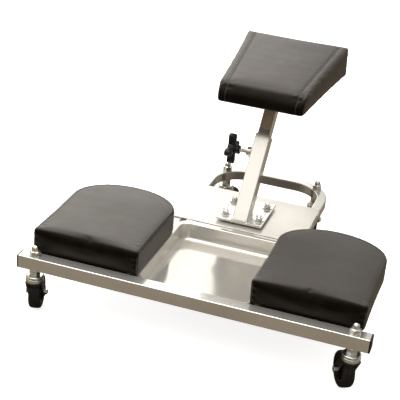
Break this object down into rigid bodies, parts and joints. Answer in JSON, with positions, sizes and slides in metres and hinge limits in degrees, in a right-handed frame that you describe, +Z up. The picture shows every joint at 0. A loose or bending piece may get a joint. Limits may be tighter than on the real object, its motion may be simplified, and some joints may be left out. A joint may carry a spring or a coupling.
{
  "type": "creeper seat",
  "caption": "Low rolling work seat: silver tube frame on swivel casters, padded knee rests either side of a tool tray, and a wedge seat on a leaning clamp-adjusted post.",
  "frame": {"origin": "on the floor, under the middle of the outer box of the whole object in the pictured pose", "axes": "+Z up; the user kneels facing -Y, so the front rail is at -Y and the seat at +Y; +X is to the right as seen from the front"},
  "size_m": [0.642, 0.6621, 0.4001],
  "materials": {
    "frame_paint": "satin silver paint",
    "tray_paint": "gloss silver paint",
    "zinc": "bright zinc",
    "black_steel": "black paint",
    "vinyl": "grained black-brown vinyl",
    "plywood": "plain plywood",
    "black_plastic": "moulded",
    "white_plastic": "moulded",
    "rubber": "matt",
    "tyre": "matt"
  },
  "bodies": {
    "frame": {"front_rail": "frame_paint", "rail_end_caps": "black_plastic", "rear_loop": "frame_paint", "tool_tray": "tray_paint", "rear_plate": "frame_paint", "left_pad_carrier": "black_steel", "right_pad_carrier": "black_steel", "left_pad_board": "plywood", "right_pad_board": "plywood", "left_knee_cushion": "vinyl", "right_knee_cushion": "vinyl", "pad_screws": "zinc", "post_base_plate": "frame_paint", "rubber_bushings": "rubber", "base_bolts": "zinc", "base_washers": "zinc", "base_nuts": "zinc", "post_outer_tube": "frame_paint", "clamp_boss": "frame_paint", "stem_acorn_nuts": "zinc", "stem_top_washers": "zinc", "stem_lower_washers": "zinc", "caster_stems": "zinc", "caster_top_races": "zinc", "swivel_balls": "zinc"},
    "seat": {"post_inner_tube": "zinc", "seat_bracket": "black_steel", "seat_board": "plywood", "seat_cushion": "vinyl", "seat_screws": "zinc"},
    "clamp_tip": {"clamp_pad": "white_plastic"},
    "clamp_knob": {"clamp_screw": "zinc", "clamp_knob": "black_plastic"},
    "front_left_fork": {"front_left_race": "zinc", "front_left_fork": "black_steel", "front_left_axle": "zinc"},
    "front_left_wheel": {"front_left_hub": "black_plastic", "front_left_tyre": "tyre"},
    "front_right_fork": {"front_right_race": "zinc", "front_right_fork": "black_steel", "front_right_axle": "zinc"},
    "front_right_wheel": {"front_right_hub": "black_plastic", "front_right_tyre": "tyre"},
    "rear_left_fork": {"rear_left_race": "zinc", "rear_left_fork": "black_steel", "rear_left_axle": "zinc"},
    "rear_left_wheel": {"rear_left_hub": "black_plastic", "rear_left_tyre": "tyre"},
    "rear_right_fork": {"rear_right_race": "zinc", "rear_right_fork": "black_steel", "rear_right_axle": "zinc"},
    "rear_right_wheel": {"rear_right_hub": "black_plastic", "rear_right_tyre": "tyre"}
  },
  "joints": [
    {"name": "seat_height", "type": "slide", "parent": "frame", "child": "seat", "axis": [0, 0.6428, 0.766], "range_m": [-0.055, 0.035]},
    {"name": "clamp_travel", "type": "slide", "parent": "frame", "child": "clamp_tip", "axis": [-1, 0, 0], "range_m": [0, 0.0026]},
    {"name": "clamp_turn", "type": "hinge", "parent": "clamp_tip", "child": "clamp_knob", "pos_m": [-0.015, 0.08564, 0.22462], "axis": [-1, 0, 0], "range_deg": [0, 720]},
    {"name": "front_left_swivel", "type": "hinge", "parent": "frame", "child": "front_left_fork", "pos_m": [-0.291, -0.31459, 0.07], "axis": [0, 0, 1], "continuous": true},
    {"name": "front_left_roll", "type": "hinge", "parent": "front_left_fork", "child": "front_left_wheel", "pos_m": [-0.29721, -0.2914, 0.032], "axis": [0.9659, 0.2588, 0], "continuous": true},
    {"name": "front_right_swivel", "type": "hinge", "parent": "frame", "child": "front_right_fork", "pos_m": [0.291, -0.31459, 0.07], "axis": [0, 0, 1], "continuous": true},
    {"name": "front_right_roll", "type": "hinge", "parent": "front_right_fork", "child": "front_right_wheel", "pos_m": [0.27973, -0.2934, 0.032], "axis": [0.8829, 0.4695, 0], "continuous": true},
    {"name": "rear_left_swivel", "type": "hinge", "parent": "frame", "child": "rear_left_fork", "pos_m": [-0.099, 0.22221, 0.07], "axis": [0, 0, 1], "continuous": true},
    {"name": "rear_left_roll", "type": "hinge", "parent": "rear_left_fork", "child": "rear_left_wheel", "pos_m": [-0.09483, 0.24585, 0.032], "axis": [0.9848, -0.1736, 0], "continuous": true},
    {"name": "rear_right_swivel", "type": "hinge", "parent": "frame", "child": "rear_right_fork", "pos_m": [0.099, 0.22221, 0.07], "axis": [0, 0, 1], "continuous": true},
    {"name": "rear_right_roll", "type": "hinge", "parent": "rear_right_fork", "child": "rear_right_wheel", "pos_m": [0.09319, 0.2455, 0.032], "axis": [0.9703, 0.2419, 0], "continuous": true}
  ],
  "couplings": [
    {"joint": "clamp_travel", "follows": "clamp_turn", "m_per_rad": 0.00019894}
  ]
}
